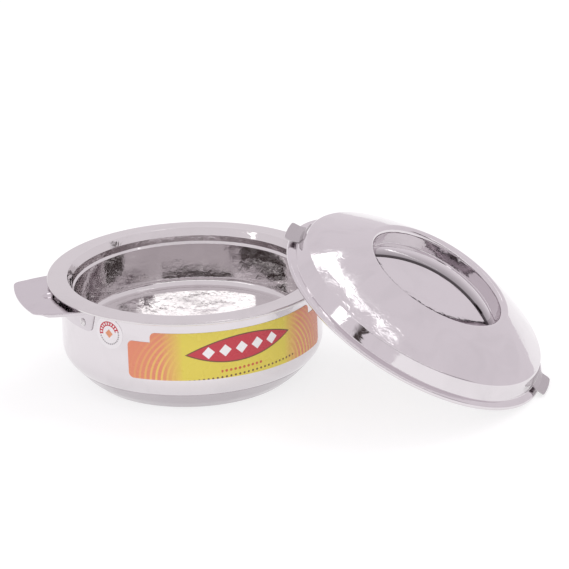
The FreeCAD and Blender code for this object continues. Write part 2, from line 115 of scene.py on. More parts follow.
class Value:
    """A number in a graph of nodes."""

    def __init__(self, tree, socket):
        self.tree, self.socket = tree, socket

    def made(self, operation, *values):
        """One Math node: the operation applied to the values."""
        inputs = dict(enumerate(values))
        return Value(self.tree, node(self.tree, "ShaderNodeMath", inputs,
                                     operation=operation).outputs[0])

    def calc(self, operation, *others):
        """The operation applied to this value and the others."""
        return self.made(operation, self, *others)

    def __add__(self, other):
        return self.calc("ADD", other)

    def __sub__(self, other):
        return self.calc("SUBTRACT", other)

    def __rsub__(self, other):
        return self.made("SUBTRACT", other, self)

    def __mul__(self, other):
        return self.calc("MULTIPLY", other)

    def __abs__(self):
        return self.calc("ABSOLUTE")

    def ramp(self, low, high, start=0.0, end=1.0):
        """start up to low, end from high on, and an even slope between them."""
        return Value(self.tree, node(self.tree, "ShaderNodeMapRange", {
            0: self, 1: low, 2: high, 3: start, 4: end}).outputs[0])


def length_of(a, b):
    """sqrt(a*a + b*b)."""
    return (a * a + b * b).calc("SQRT")


def parts_of(tree, vector):
    """The three parts of a vector."""
    split = node(tree, "ShaderNodeSeparateXYZ", {0: vector})
    return [Value(tree, socket) for socket in split.outputs]


def uv_parts(tree):
    """The piece's own texture coordinates."""
    return parts_of(tree, node(tree, "ShaderNodeUVMap", uv_map="UVMap").outputs[0])[:2]


def paint(tree, under, over, share):
    """Lays a colour over another: under*(1-share) + over*share."""
    under, over = (c + (1,) if isinstance(c, tuple) else c for c in (under, over))
    return node(tree, "ShaderNodeMix", {0: share, 6: under, 7: over}, data_type="RGBA").outputs[2]


def bumped(tree, height, depth, below=None, strength=1.0):
    """A bump of so many metres over the one below it."""
    inputs = {0: strength, 1: depth, "Height": height}
    if below is not None:
        inputs["Normal"] = below.outputs[0]
    return node(tree, "ShaderNodeBump", inputs)


def new_material(name):
    """An empty material and its tree."""
    material = bpy.data.materials.new(name)
    material.use_nodes = True
    material.node_tree.nodes.clear()
    return material, material.node_tree


def finish_material(tree, shader):
    node(tree, "ShaderNodeOutputMaterial", {"Surface": shader.outputs[0]})


def finish_surface(tree, colour, rough, bump=None, metallic=1.0):
    """Joins colour, roughness and bump in one Principled surface."""
    inputs = {"Base Color": colour, "Metallic": metallic, "Roughness": rough}
    if bump is not None:
        inputs["Normal"] = bump.outputs[0]
    finish_material(tree, node(tree, "ShaderNodeBsdfPrincipled", inputs))


print("node helpers ready")

# %% [markdown]
# ## Floor, backdrop and light
# Steel has no look of its own: it shows the room. The floor is a wide white
# sheet that also glows a little, so that it stays even under the object.
# The world is a pale tent with a dark strip, a bright pane and a bright bow,
# which the steel mirrors. Two soft boxes give plain light that it doesn't see.

# %% Floor
FLOOR_GLOW, FLOOR_TONE, FLOOR_HALF = 0.70, 0.38, 9.0


def make_floor():
    """A flat square at height zero."""
    mesh = bpy.data.meshes.new("floor")
    half = FLOOR_HALF
    mesh.from_pydata([(-half, -half, 0), (half, -half, 0), (half, half, 0), (-half, half, 0)],
                     [], [(0, 1, 2, 3)])
    floor = new_object("floor", mesh)
    material, tree = new_material("white_floor")
    paper = node(tree, "ShaderNodeBsdfDiffuse", {"Color": (FLOOR_TONE,) * 3 + (1,)})
    glow = node(tree, "ShaderNodeEmission", {"Color": (1, 1, 1, 1), "Strength": FLOOR_GLOW})
    finish_material(tree, node(tree, "ShaderNodeAddShader", {0: paper.outputs[0],
                                                            1: glow.outputs[0]}))
    mesh.materials.append(material)


make_floor()
print("floor is", 2 * FLOOR_HALF, "m across")

# %% World
TENT, DUSK, WINDOW = (0.83, 0.78, 0.82), (0.07, 0.055, 0.055), (2.1, 2.1, 2.1)
STRIP_LOW, STRIP_HIGH, STRIP_BEARING = 0.27, 0.385, -85
PANE_LOW, PANE_HIGH, PANE_BEARING = 0.40, 0.445, -108
BOW_X, BOW_Y, BOW_RADIUS, BOW_HALF, BOW_SPREAD = 1.2, 0.5, 1.006, 0.004, 0.035


def make_world():
    """The light by direction (x, y, z): tent*(1-strip) + dusk*strip, and the
    window's light where the pane or the bow is. The bow is an arc in (x, y)
    about its centre, and it widens as y grows."""
    world = bpy.data.worlds.new("tent")
    scene.world = world
    world.use_nodes = True
    tree = world.node_tree
    tree.nodes.clear()
    way = node(tree, "ShaderNodeTexCoord").outputs["Generated"]
    x, y, z = parts_of(tree, way)

    def facing(degrees):
        """How far a direction leans to a bearing: x*cos(bearing) + y*sin(bearing)."""
        bearing = math.radians(degrees)
        return x * math.cos(bearing) + y * math.sin(bearing)

    def between(value, low, high, blur):
        """1 between low and high, fading to 0 over the blur on both sides."""
        return value.ramp(low - blur, low) * value.ramp(high, high + blur, 1.0, 0.0)

    cloud = Value(tree, node(tree, "ShaderNodeTexNoise", {
        "Vector": way, "Scale": 7.0, "Detail": 3.0}).outputs[0])
    strip = between(z, STRIP_LOW, STRIP_HIGH, 0.015) * between(facing(STRIP_BEARING), 0.5, 1.0, 0.1)
    ragged = cloud * 0.5 + facing(PANE_BEARING)
    pane = between(z, PANE_LOW, PANE_HIGH, 0.012) * between(ragged, 0.70, 2.0, 0.04)
    aside = abs(cloud * 0.03 + length_of(x - BOW_X, y - BOW_Y) - BOW_RADIUS)
    beyond = aside - y.calc("MAXIMUM", 0.0) * BOW_SPREAD
    bow = between(beyond, -1.0, BOW_HALF, 0.004) * between(y, -0.19, 0.62, 0.02)
    bright = pane.calc("MAXIMUM", bow * z.calc("GREATER_THAN", 0.5))
    colour = paint(tree, paint(tree, TENT, DUSK, strip), WINDOW, bright)
    light = node(tree, "ShaderNodeBackground", {0: colour, 1: 1.0})
    node(tree, "ShaderNodeOutputWorld", {0: light.outputs[0]})


make_world()
scene.view_settings.view_transform = "Standard"
scene.cycles.glossy_bounces = 10
print("world ready")

# %% Soft boxes


def soft_box(name, place, target, width, height, power):
    """A rectangular area lamp at a place, turned to face its target."""
    data = bpy.data.lights.new(name, "AREA")
    data.shape, data.size, data.size_y, data.energy = "RECTANGLE", width, height, power
    lamp = new_object(name, data)
    way = Vector(target) - Vector(place)
    lamp.matrix_world = Matrix.Translation(place) @ way.to_track_quat("-Z", "Y").to_matrix().to_4x4()
    return lamp


for lamp in (("box_top", (0.9, 0.6, 2.7), (0.18, -0.1, 0.1), 1.1, 1.1, 9),
             ("box_front", (-1.1, -2.6, 1.5), (0.1, 0, 0.1), 1.5, 0.7, 8)):
    soft_box(*lamp).visible_glossy = False

# %% [markdown]
# ## From a drawn line to a surface
# A section is drawn as corners: radius, height and how much each corner is
# rounded. The line is sampled finely on the arcs and sparsely on the straight
# runs, and every short step keeps the true normal at both of its ends.
# Those normals go into the mesh, so the steel reflects as a perfect curve
# although the mesh is made of small flat faces.

# %% Lines with rounded corners
ARC_STEP = math.radians(6.0)
ARC_CHORD = 1.0


def right_of(heading):
    """Unit vectors to the right of a heading: (sin, -cos)."""
    return np.stack([np.sin(heading), -np.cos(heading)], -1)


def rounded_line(corners):
    """Samples a line of straight runs and tangent arcs.
    An arc of radius R that turns by t reaches R*tan(t/2) back along its run.
    Returns the spots and, for each step, the normals at its start and its end."""
    at = np.array([corner[:2] for corner in corners], float)
    run = np.diff(at, axis=0)
    heading = np.arctan2(run[:, 1], run[:, 0])
    spots, starts, ends = [at[:1]], [], []
    for i in range(1, len(at)):
        flat = right_of(heading[i - 1:i])
        starts.append(flat)
        ends.append(flat)
        turn = 0.0
        if i < len(at) - 1 and corners[i][2] > 0:
            turn = (heading[i] - heading[i - 1] + math.pi) % (2 * math.pi) - math.pi
        if abs(turn) < 1e-6:
            spots.append(at[i:i + 1])
            continue
        radius = corners[i][2]
        count = max(2, math.ceil(abs(turn) / ARC_STEP), math.ceil(radius * abs(turn) / ARC_CHORD))
        way = heading[i - 1] + turn * np.linspace(0, 1, count + 1)
        side = right_of(way)
        hand = math.copysign(radius, turn)
        back = radius * math.tan(abs(turn) / 2) * np.array([math.cos(way[0]), math.sin(way[0])])
        centre = at[i] - back - hand * side[0]
        spots.append(centre + hand * side)
        starts.append(side[:-1])
        ends.append(side[1:])
    return join(spots), join(starts), join(ends)


def moved_corners(corners, distance):
    """The same corners, moved left of the way along mitres: each corner goes by
    d * (n1 + n2) / (1 + n1.n2), where n1 and n2 are the left normals beside it."""
    at = np.array([corner[:2] for corner in corners], float)
    run = np.diff(at, axis=0)
    left = np.stack([-run[:, 1], run[:, 0]], -1) / np.hypot(run[:, 0], run[:, 1])[:, None]
    before = join([left[:1], left])
    after = join([left, left[-1:]])
    mitre = 1.0 + np.sum(before * after, -1)
    turn = before[:, 0] * after[:, 1] - before[:, 1] * after[:, 0]
    moved = at + distance * (before + after) / mitre[:, None]
    moved[:, 0] = np.maximum(moved[:, 0], 0.0)
    rounding = [max(c[2] - math.copysign(distance, t), 0.0) if c[2] > 0 else 0.0
                for c, t in zip(corners, turn)]
    return [(a, b, r) for (a, b), r in zip(moved.tolist(), rounding)]


def sheet_line(corners, thickness):
    """The whole outline of a bent sheet: out along its shown side, back along
    the other, closed at both ends."""
    back = moved_corners(corners, thickness)[::-1]
    return rounded_line(corners + back + [corners[0]])


trial = rounded_line([(0, 0, 0), (10, 0, 3), (10, 10, 0)])
print("a corner of radius 3 gives", len(trial[0]), "spots")

# %% [markdown]
# ## From patches to one closed piece
# A piece is a handful of patches, each a grid of points with its normals and
# its own texture coordinates. Points that meet are welded, so poles, wrapped
# edges and joins close without doubles, and quads that shrink to a line or a
# point there become triangles or go.

# %% Patches and pieces
WELD = 1e-3


def patch(points, before, after, uv):
    """A grid patch. before and after hold, for each face, the normals on its
    first row and its last row, as (rows, faces + 1, 3) arrays."""
    corner = np.stack([before[:, :-1], before[:, 1:], after[:, 1:], after[:, :-1]], 2)
    return points, corner, uv


def even_patch(points, normals, uv):
    """A grid patch that is smooth all over: one normal at each point."""
    return patch(points, normals[:-1], normals[1:], uv)


def quads(number):
    """Corner numbers of a grid's quads, from the numbers of its points."""
    return np.stack([number[:-1, :-1], number[:-1, 1:], number[1:, 1:], number[1:, :-1]],
                    -1).reshape(-1, 4)


def weld(points):
    """Joins points on the same spot of a fine lattice. Returns the points kept
    and the new number of every old point."""
    key = np.floor(points / WELD + 0.37).astype(np.int64)
    _, first, number = np.unique(key, axis=0, return_index=True, return_inverse=True)
    return points[first], number.reshape(-1)


def gather(patches):
    """All patches as one: points, quads, corner normals and corner UVs."""
    points, faces, normals, uvs, first = [], [], [], [], 0
    for grid, corner, uv in patches:
        count = grid.shape[0] * grid.shape[1]
        face = quads(np.arange(count).reshape(grid.shape[:2]))
        points.append(grid.reshape(-1, 3))
        faces.append(first + face)
        normals.append(corner.reshape(-1, 4, 3))
        uvs.append(uv.reshape(-1, 2)[face])
        first += count
    return join(points), join(faces), join(normals), join(uvs)


def make_piece(name, patches, material, body, stands_for, slot, place=None):
    """Welds the patches into one mesh in metres, with the given normals, and
    hands it to its body in place of its CAD node."""
    points, faces, normals, uvs = gather(patches)
    points, number = weld(points)
    faces = number[faces]
    if place:
        points, flat = place(points, normals.reshape(-1, 3))
        normals = flat.reshape(-1, 4, 3)
    span = points[faces]
    facing = np.cross(span[:, 2] - span[:, 0], span[:, 3] - span[:, 1])
    inward = np.sum(facing * normals.sum(1), -1) < 0
    for part in (faces, normals, uvs):
        part[inward] = part[inward][:, ::-1]
    kept = faces != np.roll(faces, -1, axis=1)
    sides = kept.sum(1)
    flat = (faces[:, 0] == faces[:, 2]) | (faces[:, 1] == faces[:, 3])
    sides[flat] = 0
    kept[sides < 3] = False
    mesh = bpy.data.meshes.new(name)
    mesh.vertices.add(len(points))
    mesh.vertices.foreach_set("co", (points * MM).astype(np.float32).ravel())
    mesh.loops.add(int(kept.sum()))
    mesh.loops.foreach_set("vertex_index", faces[kept].astype(np.int32))
    sides = sides[sides >= 3]
    mesh.polygons.add(len(sides))
    begins = join([[0], np.cumsum(sides)[:-1]]).astype(np.int32)
    mesh.polygons.foreach_set("loop_start", begins)
    layer = mesh.uv_layers.new(name="UVMap")
    layer.data.foreach_set("uv", uvs[kept].astype(np.float32).ravel())
    mesh.update(calc_edges=True)
    mesh.shade_smooth()
    mesh.normals_split_custom_set(normals[kept].astype(np.float32))
    mesh.materials.append(material)
    piece = new_object(name, mesh)
    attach(piece, body)
    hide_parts(stands_for)
    print(name, (sides - 2).sum(), "triangles,", np.round(np.ptp(points, 0), 1).tolist(), "mm")


# %% [markdown]
# ## Turning on the lathe
# A spun piece is its section carried round the axis. The texture coordinates
# are the share of the turn and the length along the section in metres, which
# the steel uses for its fine lathe lines.

# %% Turned patch
AROUND = 360


def turned_patch(line, around=AROUND):
    """point(i, a) = (r_i cos a, r_i sin a, z_i), for every spot i of the line
    and every angle a; normals turn in the same way."""
    spots, starts, ends = line
    angle = np.linspace(0, 2 * math.pi, around + 1)
    ring = np.stack([np.cos(angle), np.sin(angle)], -1)

    def carried(flat):
        across = flat[:, None, :1] * ring[None]
        return join([across, spread(flat[:, None, 1:], across.shape[:2] + (1,))], -1)

    length = join([[0], np.cumsum(np.hypot(*np.diff(spots, axis=0).T))]) * MM
    uv = np.stack(np.broadcast_arrays(angle[None] / (2 * math.pi), length[:, None]), -1)
    return patch(carried(spots), carried(starts), carried(ends), uv)


print("a turned piece has", AROUND, "steps round its axis")

# %% [markdown]
# ## Polished steel
# Real mirror steel is never quite even. Spinning leaves long shallow waves and
# fine lathe lines, handling leaves thin scratches and soft smears. The waves
# and lines are bump, so that they bend the reflections; the smears only make
# the steel a little rougher and greyer.

# %% Steel material


def lathe_noise(tree, around, along):
    """Noise that follows the lathe: its place is (k cos 2 pi u, k sin 2 pi u, m v),
    so it is long round the axis, short along the section, and has no seam."""
    u, v = uv_parts(tree)
    turn = u * (2 * math.pi)
    place = node(tree, "ShaderNodeCombineXYZ", {
        0: turn.calc("COSINE") * around, 1: turn.calc("SINE") * around, 2: v * along})
    return Value(tree, node(tree, "ShaderNodeTexNoise", {0: place.outputs[0], 2: 1.0, 3: 2.0}
                            ).outputs[0])


def field_noise(tree, scale, detail=2.0, twist=0.0, stretch=(1, 1, 1)):
    """Noise over the object's own coordinates, with features 1/scale metres long."""
    at = node(tree, "ShaderNodeTexCoord").outputs["Object"]
    if stretch != (1, 1, 1):
        at = node(tree, "ShaderNodeMapping", {0: at, 3: stretch}).outputs[0]
    return Value(tree, node(tree, "ShaderNodeTexNoise", {0: at, 2: scale, 3: detail, 8: twist}
                            ).outputs[0])


def cell_pattern(tree, scale):
    """Distance to the nearest of many scattered seeds."""
    at = node(tree, "ShaderNodeTexCoord").outputs["Object"]
    return Value(tree, node(tree, "ShaderNodeTexVoronoi", {0: at, 2: scale}).outputs[0])


# SHADE is painted shade: the near-black laid on the strap's near half and on its rolled edges.
SHADE = (0.09, 0.08, 0.085)
WORN = 0.93


def steel(name, tint, gloss=0.07, wave=0.0006, wave_scale=34.0, dents=0.0001, lines=0.000002,
          smear=0.10, spun=True, rim=None):
    """Mirror steel: metal of one tint, bump from waves, dents, lathe lines and
    scratches, roughness = gloss + smear * smudges + 0.06 * scratches. Where a
    rim is given, painted shade darkens a strip from its middle line to its near
    rim, and painted shade covers it beyond both rims."""
    material, tree = new_material(name)
    bump = bumped(tree, field_noise(tree, wave_scale, 1.5), wave)
    bump = bumped(tree, field_noise(tree, 4.5 * wave_scale, 2.0, 0.8), dents, bump)
    fine = (lathe_noise(tree, 2.0, 2600.0) if spun
            else field_noise(tree, 1500.0, stretch=(1, 0.08, 1)))
    bump = bumped(tree, fine, lines, bump)
    cut = field_noise(tree, 240.0, 3.0, 0.6, (1, 7, 2)).ramp(0.66, 0.70)
    bump = bumped(tree, cut, 0.000004, bump, 0.5)
    smudge = field_noise(tree, 21.0, 5.0, 1.2).ramp(0.48, 0.80)
    rough = smudge * smear + gloss + cut * 0.06
    colour = paint(tree, tint, tuple(WORN * c for c in tint), smudge)
    # Painted shade: the strip's near half darkens towards SHADE, and beyond both rims it is SHADE.
    if rim:
        side = uv_parts(tree)[1]
        colour = paint(tree, colour, SHADE, side.ramp(-0.001, -rim, 0.0, 0.55))
        colour = paint(tree, colour, SHADE, abs(side).ramp(rim - 0.0006, rim))
    finish_surface(tree, colour, rough, bump)
    return material


LILAC = (0.735, 0.700, 0.722)
pot_steel = steel("polished_steel", LILAC)
# The base dish's darker tint is painted shade, for the shadowed floor under the pot that it mirrors.
base_steel_painted_shade = steel("base_steel_painted_shade", (0.53, 0.49, 0.515), gloss=0.14)
bowl_steel = steel("bowl_steel", (0.745, 0.720, 0.725), gloss=0.05, wave=0.0004)
lid_steel = steel("lid_steel", LILAC, gloss=0.05, wave=0.0006, wave_scale=20.0, dents=0.00012)
# The handles' darker tint is painted shade.
handle_steel = steel("handle_steel", (0.66, 0.62, 0.65), gloss=0.09, spun=False)
print("steels:", [m.name for m in bpy.data.materials])

# %% [markdown]
# ## The pot: wall, base and bowl
# The wall is one drawn shell that tucks in to a seam near the floor. The base
# is a shallow dish that meets it there. The bowl hangs inside from a flat
# ring with a rolled edge, and steps down over a ledge that the lid sits in.

# %% Sizes of the pot
SHEET = 0.8
POT_HEIGHT, WALL, RIM, MOUTH = 97.4, 120.0, 131.5, 113.0
RIM_ROLL, RIM_TUCK, RIM_FALL = 1.4, 3.0, 0.7
NECK, LEDGE, BOWL_FOOT = 109.7, 108.8, 105.6
BOWL_FLOOR, DISC, DISC_RISE = 43.0, 86.0, 1.2
SEAM, SEAM_HEIGHT, SEAM_FLANGE, SEAM_ROUND = 113.2, 20.0, 4.5, 0.9


def ring_height(radius):
    """The ring falls evenly from the mouth to its edge."""
    return POT_HEIGHT - RIM_FALL * (radius - MOUTH) / (RIM - MOUTH)


def spun_sheet(name, corners, *where):
    """A sheet along a drawn line, turned about the axis."""
    make_piece(name, [turned_patch(sheet_line(corners, SHEET))], *where)


print("ring edge at", round(ring_height(RIM), 2), "mm")

# %% Outer wall
wall_corners = [(SEAM - SEAM_FLANGE, SEAM_HEIGHT, 0), (SEAM, SEAM_HEIGHT, SEAM_ROUND),
                (WALL, 27.4, 22.0), (WALL, ring_height(WALL) - SHEET - 0.05, 0)]
spun_sheet("wall_shell", wall_corners, pot_steel, "pot", "outer_shell", "polished_steel")

# %% Base cover
base_corners = [(0, 0, 0), (52.0, 0, 1.0), (54.0, 1.5, 1.0), (68.0, 1.5, 1.0), (70.0, 0, 1.0),
                (92.5, 0, 2.5), (101.5, 7.4, 40.0), (SEAM, SEAM_HEIGHT, SEAM_ROUND),
                (SEAM - SEAM_FLANGE, SEAM_HEIGHT, 0)]
spun_sheet("base_dish", base_corners, base_steel_painted_shade, "pot", "base_cover", "polished_steel")

# %% Inner bowl and ring
edge = ring_height(RIM)
bowl_corners = [(RIM - RIM_TUCK, edge - 2 * RIM_ROLL, 0), (RIM, edge - 2 * RIM_ROLL, RIM_ROLL),
                (RIM, edge, RIM_ROLL), (MOUTH, POT_HEIGHT, 1.0),
                (NECK, POT_HEIGHT - 6.5, 1.0), (LEDGE, POT_HEIGHT - 12.1, 1.0),
                (LEDGE - 1.9, POT_HEIGHT - 13.7, 1.0), (BOWL_FOOT, BOWL_FLOOR, 7.0),
                (DISC + DISC_RISE, BOWL_FLOOR, 0.8), (DISC, BOWL_FLOOR + DISC_RISE, 0.8),
                (0, BOWL_FLOOR + DISC_RISE, 0)]
spun_sheet("bowl_and_ring", bowl_corners, bowl_steel, "pot", "inner_bowl", "polished_steel")

# %% [markdown]
# ## Plates: a closed outline filled to its spine
# The handles are stamped plates. An outline is a closed loop of spots with
# outward normals. Straight lines from every spot to the nearest point of a
# short spine fill it, which keeps the grid even at round ends. A lift function
# gives each point its height, and numbers close by give the slope there.

# %% Plate patches


def evenly(spots, normals, count):
    """Resamples a smooth line at equal lengths, with its normals."""
    length = join([[0], np.cumsum(np.hypot(*np.diff(spots, axis=0).T))])
    wanted = np.linspace(0, length[-1], count)
    pick = lambda values: np.stack([np.interp(wanted, length, v) for v in values.T], -1)
    turned = pick(normals)
    return pick(spots), turned / np.linalg.norm(turned, axis=1)[:, None]


def filled(outline, spine_from, spine_to, shares):
    """Points outline*(1-t) + spine*t for every share t; the spine runs along
    the first axis, and each outline point takes the spine's nearest one."""
    spine = np.stack([np.clip(outline[:, 0], spine_from[0], spine_to[0]),
                      np.full(len(outline), spine_from[1])], -1)
    t = shares[:, None, None]
    return outline[None] * (1 - t) + spine[None] * t


def lifted(plan, height, step=0.02):
    """Points (x, y, height(x, y)) and normals (-dh/dx, -dh/dy, 1) made unit."""
    x, y = plan[..., 0], plan[..., 1]
    dx = (height(x + step, y) - height(x - step, y)) / (2 * step)
    dy = (height(x, y + step) - height(x, y - step)) / (2 * step)
    normals = np.stack([-dx, -dy, np.ones_like(dx)], -1)
    normals /= np.linalg.norm(normals, axis=-1)[..., None]
    return np.stack([x, y, height(x, y)], -1), normals


print("plate helpers ready")

# %% [markdown]
# ## Side handles
# Each grip is a flat plate under the ring. Its two long sides are folded down
# into a lip, its outer edge is cut in an arc about the pot, and a bead is
# pressed up along its middle. Below it a curved flange hugs the wall, where
# two rivets hold it.

# %% Outline of the grip
GRIP_TOP, GRIP_REACH, GRIP_NOSE, PLATE = 91.0, 162.0, 9.0, 1.2
WALL_GAP, ROOT_HALF = 0.06, 51.0
WAIST, NOSE = (139.0, -47.8), (157.0, -42.0)


def nose_place():
    """Centre of the nose: it lies 9 mm inside both the side and the outer arc."""
    waist, nose = np.array(WAIST), np.array(NOSE)
    along = (nose - waist) / np.hypot(*(nose - waist))
    across = np.array([along[1], -along[0]])
    off = waist @ across - GRIP_NOSE
    return across * off + along * math.sqrt((GRIP_REACH - GRIP_NOSE) ** 2 - off ** 2), across


def grip_outline():
    """Root corner, side, nose and outer arc of one half, then its mirror image.
    Returns spots, outward normals and the share of side lip at each spot."""
    centre, side_normal = nose_place()
    root = math.sqrt((WALL + WALL_GAP) ** 2 - ROOT_HALF ** 2)
    last = centre + GRIP_NOSE * side_normal
    line = rounded_line([(root, -ROOT_HALF, 0), (121.2, -ROOT_HALF, 30.0), (*WAIST, 50.0), (*last, 0)])
    side, side_n = evenly(line[0], join([line[1][:1], line[2]]), 120)
    begin = math.atan2(side_normal[1], side_normal[0])
    end = math.atan2(centre[1], centre[0])
    turn = np.linspace(begin, end, 14)
    nose_n = np.stack([np.cos(turn), np.sin(turn)], -1)
    arc = np.linspace(end, 0, 40)
    arc_n = np.stack([np.cos(arc), np.sin(arc)], -1)
    half = join([side, (centre + GRIP_NOSE * nose_n)[1:], (GRIP_REACH * arc_n)[1:]])
    half_n = join([side_n, nose_n[1:], arc_n[1:]])
    mirror = np.array([1.0, -1.0])
    spots = join([half, (half * mirror)[-2::-1]])
    normals = join([half_n, (half_n * mirror)[-2::-1]])
    lip = np.clip((152.0 - spots[:, 0]) / 9.0, 0, 1)
    return spots, normals, lip * lip * (3 - 2 * lip)


grip_spots, grip_normals, grip_lip = grip_outline()
print("grip outline has", len(grip_spots), "spots")

# %% Grip surfaces
BEAD_ROUND, BEAD_CREST, BEAD_END, BEAD_SOFT = 6.0, 93.6, 141.0, 0.4


def bead_height(x, y):
    """Top of the plate: flat, with a sunken round bar along the middle.
    The two are joined by a smooth maximum, (d + sqrt(d*d + k*k)) / 2."""
    past = np.maximum(x - (BEAD_END - BEAD_ROUND), 0)
    bar = np.sqrt(np.maximum(BEAD_ROUND ** 2 - y * y - past * past, 0.0))
    rest = BEAD_CREST - GRIP_TOP - BEAD_ROUND
    lift = lambda d: (d + np.sqrt(d * d + BEAD_SOFT ** 2)) / 2
    return GRIP_TOP + lift(bar + rest) - lift(rest)


def grip_edge():
    """The folded rim as a strip: round bend, lip and rounded lower edge. Bend
    and depth are greater where there is a side lip."""
    bend = 0.35 + 0.95 * grip_lip
    deep = PLATE + 2.4 * grip_lip
    turn = np.linspace(0, math.pi / 2, 8)
    small = 0.3
    rows = [(bend * (1 - math.sin(a)), GRIP_TOP - bend * (1 - math.cos(a))) for a in turn]
    rows += [(small * (1 - math.cos(a)), GRIP_TOP - deep + small * (1 - math.sin(a))) for a in turn]
    inset = np.array([spread(r[0], grip_lip.shape) for r in rows])
    height = np.array([spread(r[1], grip_lip.shape) for r in rows])
    flat = grip_spots[None] - inset[..., None] * grip_normals[None]
    points = join([flat, height[..., None]], -1)
    out = join([np.sin(turn), np.cos(turn)])
    up = join([np.cos(turn), -np.sin(turn)])
    normals = join([out[:, None, None] * grip_normals[None],
                    spread(up[:, None, None], inset.shape + (1,))], -1)
    return points, normals


def grip_patches():
    """Top, rim, inside of the lip, underside and root of the grip."""
    rim, rim_n = grip_edge()
    shares = join([np.linspace(0, 0.82, 12), np.linspace(0.82, 1, 26)[1:]])
    spine = ((123.0, 0.0), (151.0, 0.0))
    reach = math.asin(ROOT_HALF / (WALL + WALL_GAP))
    root_angle = np.linspace(reach, -reach, 60)
    root = (WALL + WALL_GAP) * np.stack([np.cos(root_angle), np.sin(root_angle)], -1)
    loop = join([rim[0, :, :2], root[1:-1], rim[0, :1, :2]])
    top, top_n = lifted(filled(loop, *spine, shares), bead_height)
    inner = grip_spots - PLATE * grip_normals
    inner_loop = join([inner, root[1:-1], inner[:1]])
    under = lambda x, y: bead_height(x, y) - PLATE
    low, low_n = lifted(filled(inner_loop, *spine, shares), under)
    foot = rim[-1]
    lip_in = np.stack([foot, join([inner, foot[:, 2:]], -1)])
    lip_up = np.stack([lip_in[1], join([inner, under(inner[:, :1], inner[:, 1:])], -1)])
    side = join([-grip_normals, np.zeros((len(grip_normals), 1))], -1)
    back = np.stack([top[0, len(grip_spots) - 1:], low[0, len(grip_spots) - 1:]])
    return [even_patch(grid, normals, grid[..., :2] * MM) for grid, normals in (
        (top, top_n), (low, -low_n), (rim, rim_n),
        (lip_in, spread([0.0, 0.0, -1.0], lip_in.shape)),
        (lip_up, spread(side, lip_up.shape)),
        (back, spread([-1.0, 0.0, 0.0], back.shape)))]


print("grip top rises to", BEAD_CREST, "mm")

# %% Flange on the wall
FLANGE_FOOT, FLANGE_HALF, FLANGE_HALF_FOOT = 72.0, 59.4, 54.8


def flange_patches():
    """A trapezoid with two round lower corners, bent round the wall: the point
    (y, z) at radius R goes to (sqrt(R*R - y*y), y, z)."""
    corners = [(FLANGE_HALF, GRIP_TOP, 0), (FLANGE_HALF_FOOT, FLANGE_FOOT, 5.0),
               (-FLANGE_HALF_FOOT, FLANGE_FOOT, 5.0), (-FLANGE_HALF, GRIP_TOP, 0)]
    line = rounded_line(corners)
    spots, normals = evenly(line[0], join([line[1][:1], line[2]]), 260)
    top_row = np.stack([np.linspace(-FLANGE_HALF, FLANGE_HALF, 90), np.full(90, GRIP_TOP)], -1)
    outer, inner, small = WALL + PLATE, WALL + WALL_GAP, 0.35

    def bent(flat, radius):
        return np.stack([np.sqrt(radius ** 2 - flat[..., 0] ** 2), flat[..., 0], flat[..., 1]], -1)

    def radial(flat, radius):
        x = np.sqrt(radius ** 2 - flat[..., 0] ** 2) / radius
        return np.stack([x, flat[..., 0] / radius, np.zeros_like(x)], -1)

    shares = np.linspace(0, 1, 10)
    turn = np.linspace(0, math.pi / 2, 6)
    rows, rows_n = [], []
    for a in turn:
        flat = spots - small * (1 - math.sin(a)) * normals
        away = radial(flat, outer)
        rows.append(bent(flat, outer - small * (1 - math.cos(a))))
        edge_n = join([np.zeros((len(flat), 1)), normals], -1)
        rows_n.append(math.cos(a) * away + math.sin(a) * edge_n)
    rows.append(bent(spots, inner))
    rows_n.append(rows_n[-1])
    rim, rim_n = np.array(rows), np.array(rows_n)
    loop = join([spots - small * normals, top_row[1:-1], (spots - small * normals)[:1]])
    back_loop = join([spots, top_row[1:-1], spots[:1]])
    spine = ((-46.0, 81.0), (46.0, 81.0))
    plan, back_plan = filled(loop, *spine, shares), filled(back_loop, *spine, shares)
    front, back = bent(plan, outer), bent(back_plan, inner)
    brim = np.stack([front[0, len(spots) - 1:], back[0, len(spots) - 1:]])
    up = spread([0.0, 0.0, 1.0], brim.shape)
    return [even_patch(grid, away, grid[..., 1:] * MM) for grid, away in (
        (front, radial(plan, outer)), (back, -radial(back_plan, inner)), (rim, rim_n), (brim, up))]


print("flange from", FLANGE_FOOT, "to", GRIP_TOP, "mm")

# %% Both handles


def about_axis(degrees):
    """A place function that turns points and normals about the Z axis."""
    c, s = math.cos(math.radians(degrees)), math.sin(math.radians(degrees))
    turn = np.array([[c, s, 0], [-s, c, 0], [0, 0, 1.0]])
    return lambda points, normals: (points @ turn, normals @ turn)


handle_patches = grip_patches() + flange_patches()
for name, solid, degrees in (("handle_right", "right_handle", 0), ("handle_left", "left_handle", 180)):
    make_piece(name, handle_patches, handle_steel, "pot", solid, "handle_steel", about_axis(degrees))

# %% [markdown]
# ## Rivets
# Four aluminium rivets hold the flanges. A rivet is a turned piece laid on its
# side: a low crown with a hammered dimple outside, an upset tail inside. The
# metal is softer and duller than the steel round it.

# %% Rivet material and rivets
RIVET_ANGLE, RIVET_HEIGHT = 21.8, 78.5


def hammered(name):
    """Dull aluminium with small hammer marks from a cell pattern."""
    material, tree = new_material(name)
    bump = bumped(tree, cell_pattern(tree, 900.0), 0.0001, strength=0.6)
    grain = field_noise(tree, 700.0, 3.0)
    colour = paint(tree, (0.62, 0.60, 0.61), (0.80, 0.78, 0.78), grain)
    finish_surface(tree, colour, grain.ramp(0.3, 0.7, 0.20, 0.38), bump)
    return material


